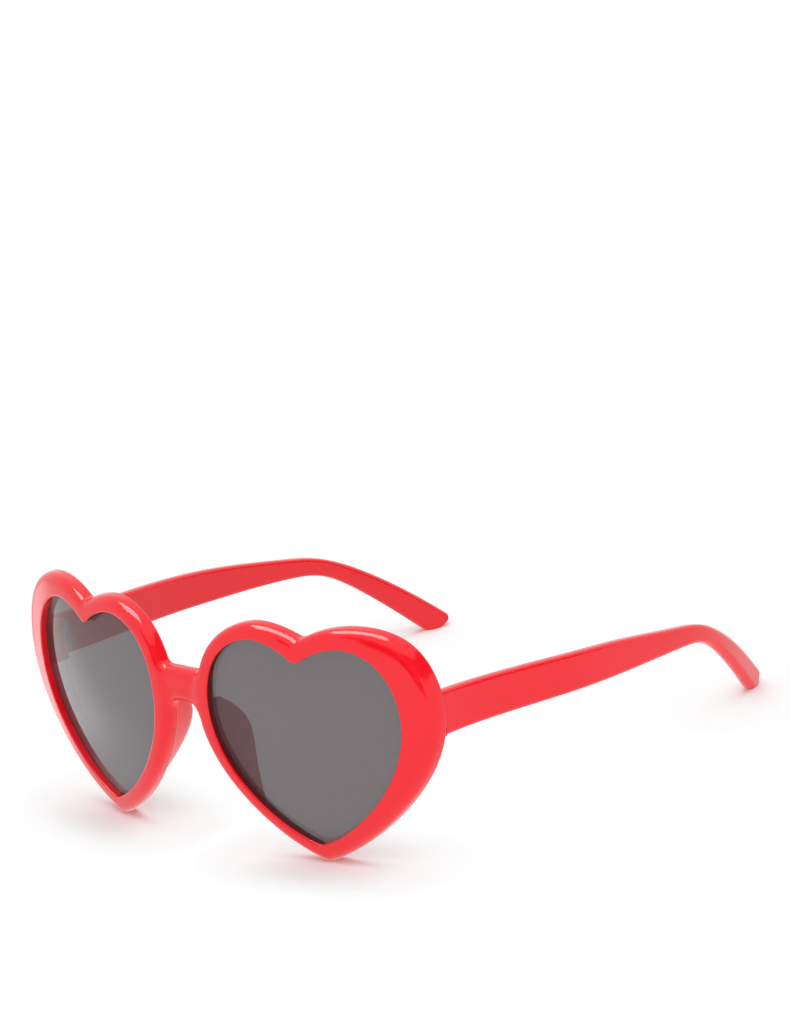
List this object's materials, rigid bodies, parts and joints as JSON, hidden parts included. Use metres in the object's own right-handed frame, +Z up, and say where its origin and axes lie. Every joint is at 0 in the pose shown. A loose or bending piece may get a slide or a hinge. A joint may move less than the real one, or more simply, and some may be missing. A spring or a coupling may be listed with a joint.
{
  "type": "sunglasses",
  "caption": "Heart shaped sunglasses with a glossy moulded front, smoke tinted curved lenses and folding temples on moulded in steel hinges.",
  "frame": {"origin": "middle of the open glasses' bounding box, on the floor they stand on", "axes": "+X towards the wearer's left, +Y from the front back along the temples, +Z up"},
  "size_m": [0.1518, 0.1486, 0.0616],
  "materials": {
    "red_plastic": "polished red injection moulded plastic",
    "smoke_lens": "clear smoke grey tinted plastic",
    "hinge_steel": "stamped steel",
    "screw_steel": "turned steel"
  },
  "bodies": {
    "front": {"front_frame": "red_plastic", "lens_left": "smoke_lens", "lens_right": "smoke_lens", "front_hinge_leaf_left": "hinge_steel", "front_hinge_leaf_right": "hinge_steel", "hinge_screw_left": "screw_steel", "hinge_screw_right": "screw_steel"},
    "left_arm": {"temple_left": "red_plastic", "temple_hinge_leaf_left": "hinge_steel"},
    "right_arm": {"temple_right": "red_plastic", "temple_hinge_leaf_right": "hinge_steel"}
  },
  "joints": [
    {"name": "left_fold", "type": "hinge", "parent": "front", "child": "left_arm", "pos_m": [0.0677, -0.05221, 0.03942], "axis": [0, 0, 1], "range_deg": [0, 88]},
    {"name": "right_fold", "type": "hinge", "parent": "front", "child": "right_arm", "pos_m": [-0.0677, -0.05221, 0.03942], "axis": [0, 0, -1], "range_deg": [0, 82]}
  ]
}
